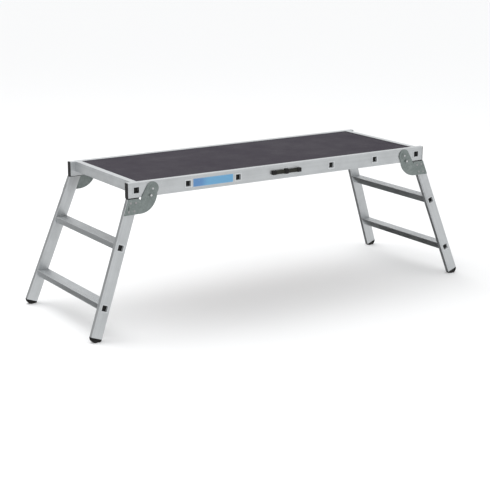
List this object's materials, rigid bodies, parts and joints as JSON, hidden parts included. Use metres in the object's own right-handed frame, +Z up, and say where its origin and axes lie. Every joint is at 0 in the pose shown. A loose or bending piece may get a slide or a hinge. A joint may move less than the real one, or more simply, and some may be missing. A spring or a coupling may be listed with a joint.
{
  "type": "folding work platform",
  "caption": "Low folding work platform: a decked aluminium frame on ladder-like leg frames that fold flat under it",
  "frame": {"origin": "on the floor under the middle of the deck, the centre of the bottom of the bounding box", "axes": "+X along the platform, +Y to the rear, +Z up; the carrying strap is on the front rail, towards -Y"},
  "size_m": [2.1886, 0.7194, 0.7],
  "materials": {
    "aluminium": "satin extrusion",
    "zinc_plate": "matt zinc",
    "bright_steel": "bright zinc",
    "black_plastic": "matt",
    "foot_rubber": "matt",
    "deck_plywood": "film-faced, anti-slip pattern",
    "strap_band": "matt",
    "label_film": "satin"
  },
  "bodies": {
    "platform": {"side_rail_front": "aluminium", "side_rail_rear": "aluminium", "end_beam_left": "aluminium", "end_beam_right": "aluminium", "cross_tube_outer_left": "aluminium", "cross_tube_inner_left": "aluminium", "cross_tube_centre": "aluminium", "cross_tube_inner_right": "aluminium", "cross_tube_outer_right": "aluminium", "tube_plugs": "black_plastic", "deck_panel": "deck_plywood", "deck_screws": "bright_steel", "rail_cap_front_left": "black_plastic", "rail_cap_front_right": "black_plastic", "rail_cap_rear_left": "black_plastic", "rail_cap_rear_right": "black_plastic", "pivot_bolts": "bright_steel", "pivot_washers": "zinc_plate", "pivot_spacers": "black_plastic", "pivot_nuts": "bright_steel", "strap_anchor_left": "black_plastic", "strap_anchor_right": "black_plastic", "carry_strap": "strap_band", "strap_stud": "black_plastic", "strap_screws": "bright_steel", "label": "label_film"},
    "left_leg": {"left_stile_front": "aluminium", "left_stile_rear": "aluminium", "left_rung_upper": "aluminium", "left_rung_lower": "aluminium", "left_stile_cap_front": "black_plastic", "left_stile_cap_rear": "black_plastic", "left_foot_front": "foot_rubber", "left_foot_rear": "foot_rubber", "left_hinge_plate_front": "zinc_plate", "left_hinge_plate_rear": "zinc_plate", "left_rivets": "aluminium", "left_rung_plugs": "black_plastic", "left_lock_bushes": "zinc_plate", "left_lock_spring_front": "bright_steel", "left_lock_spring_rear": "bright_steel"},
    "left_lock_front": {"left_lock_pin_front": "bright_steel"},
    "left_lock_rear": {"left_lock_pin_rear": "bright_steel"},
    "right_leg": {"right_stile_front": "aluminium", "right_stile_rear": "aluminium", "right_rung_upper": "aluminium", "right_rung_lower": "aluminium", "right_stile_cap_front": "black_plastic", "right_stile_cap_rear": "black_plastic", "right_foot_front": "foot_rubber", "right_foot_rear": "foot_rubber", "right_hinge_plate_front": "zinc_plate", "right_hinge_plate_rear": "zinc_plate", "right_rivets": "aluminium", "right_rung_plugs": "black_plastic", "right_lock_bushes": "zinc_plate", "right_lock_spring_front": "bright_steel", "right_lock_spring_rear": "bright_steel"},
    "right_lock_front": {"right_lock_pin_front": "bright_steel"},
    "right_lock_rear": {"right_lock_pin_rear": "bright_steel"}
  },
  "joints": [
    {"name": "left_leg_hinge", "type": "hinge", "parent": "platform", "child": "left_leg", "pos_m": [-0.741, 0, 0.6645], "axis": [0, -1, 0], "range_deg": [0, 110.5]},
    {"name": "left_lock_front_slide", "type": "slide", "parent": "left_leg", "child": "left_lock_front", "axis": [0, -1, 0], "range_m": [0, 0.004], "stiffness_N_per_m": 1500, "springref_m": -0.002, "deforming": ["left_lock_spring_front"]},
    {"name": "left_lock_rear_slide", "type": "slide", "parent": "left_leg", "child": "left_lock_rear", "axis": [0, 1, 0], "range_m": [0, 0.004], "stiffness_N_per_m": 1500, "springref_m": -0.002, "deforming": ["left_lock_spring_rear"]},
    {"name": "right_leg_hinge", "type": "hinge", "parent": "platform", "child": "right_leg", "pos_m": [0.741, 0, 0.6645], "axis": [0, 1, 0], "range_deg": [0, 110.5]},
    {"name": "right_lock_front_slide", "type": "slide", "parent": "right_leg", "child": "right_lock_front", "axis": [0, -1, 0], "range_m": [0, 0.004], "stiffness_N_per_m": 1500, "springref_m": -0.002, "deforming": ["right_lock_spring_front"]},
    {"name": "right_lock_rear_slide", "type": "slide", "parent": "right_leg", "child": "right_lock_rear", "axis": [0, 1, 0], "range_m": [0, 0.004], "stiffness_N_per_m": 1500, "springref_m": -0.002, "deforming": ["right_lock_spring_rear"]}
  ]
}
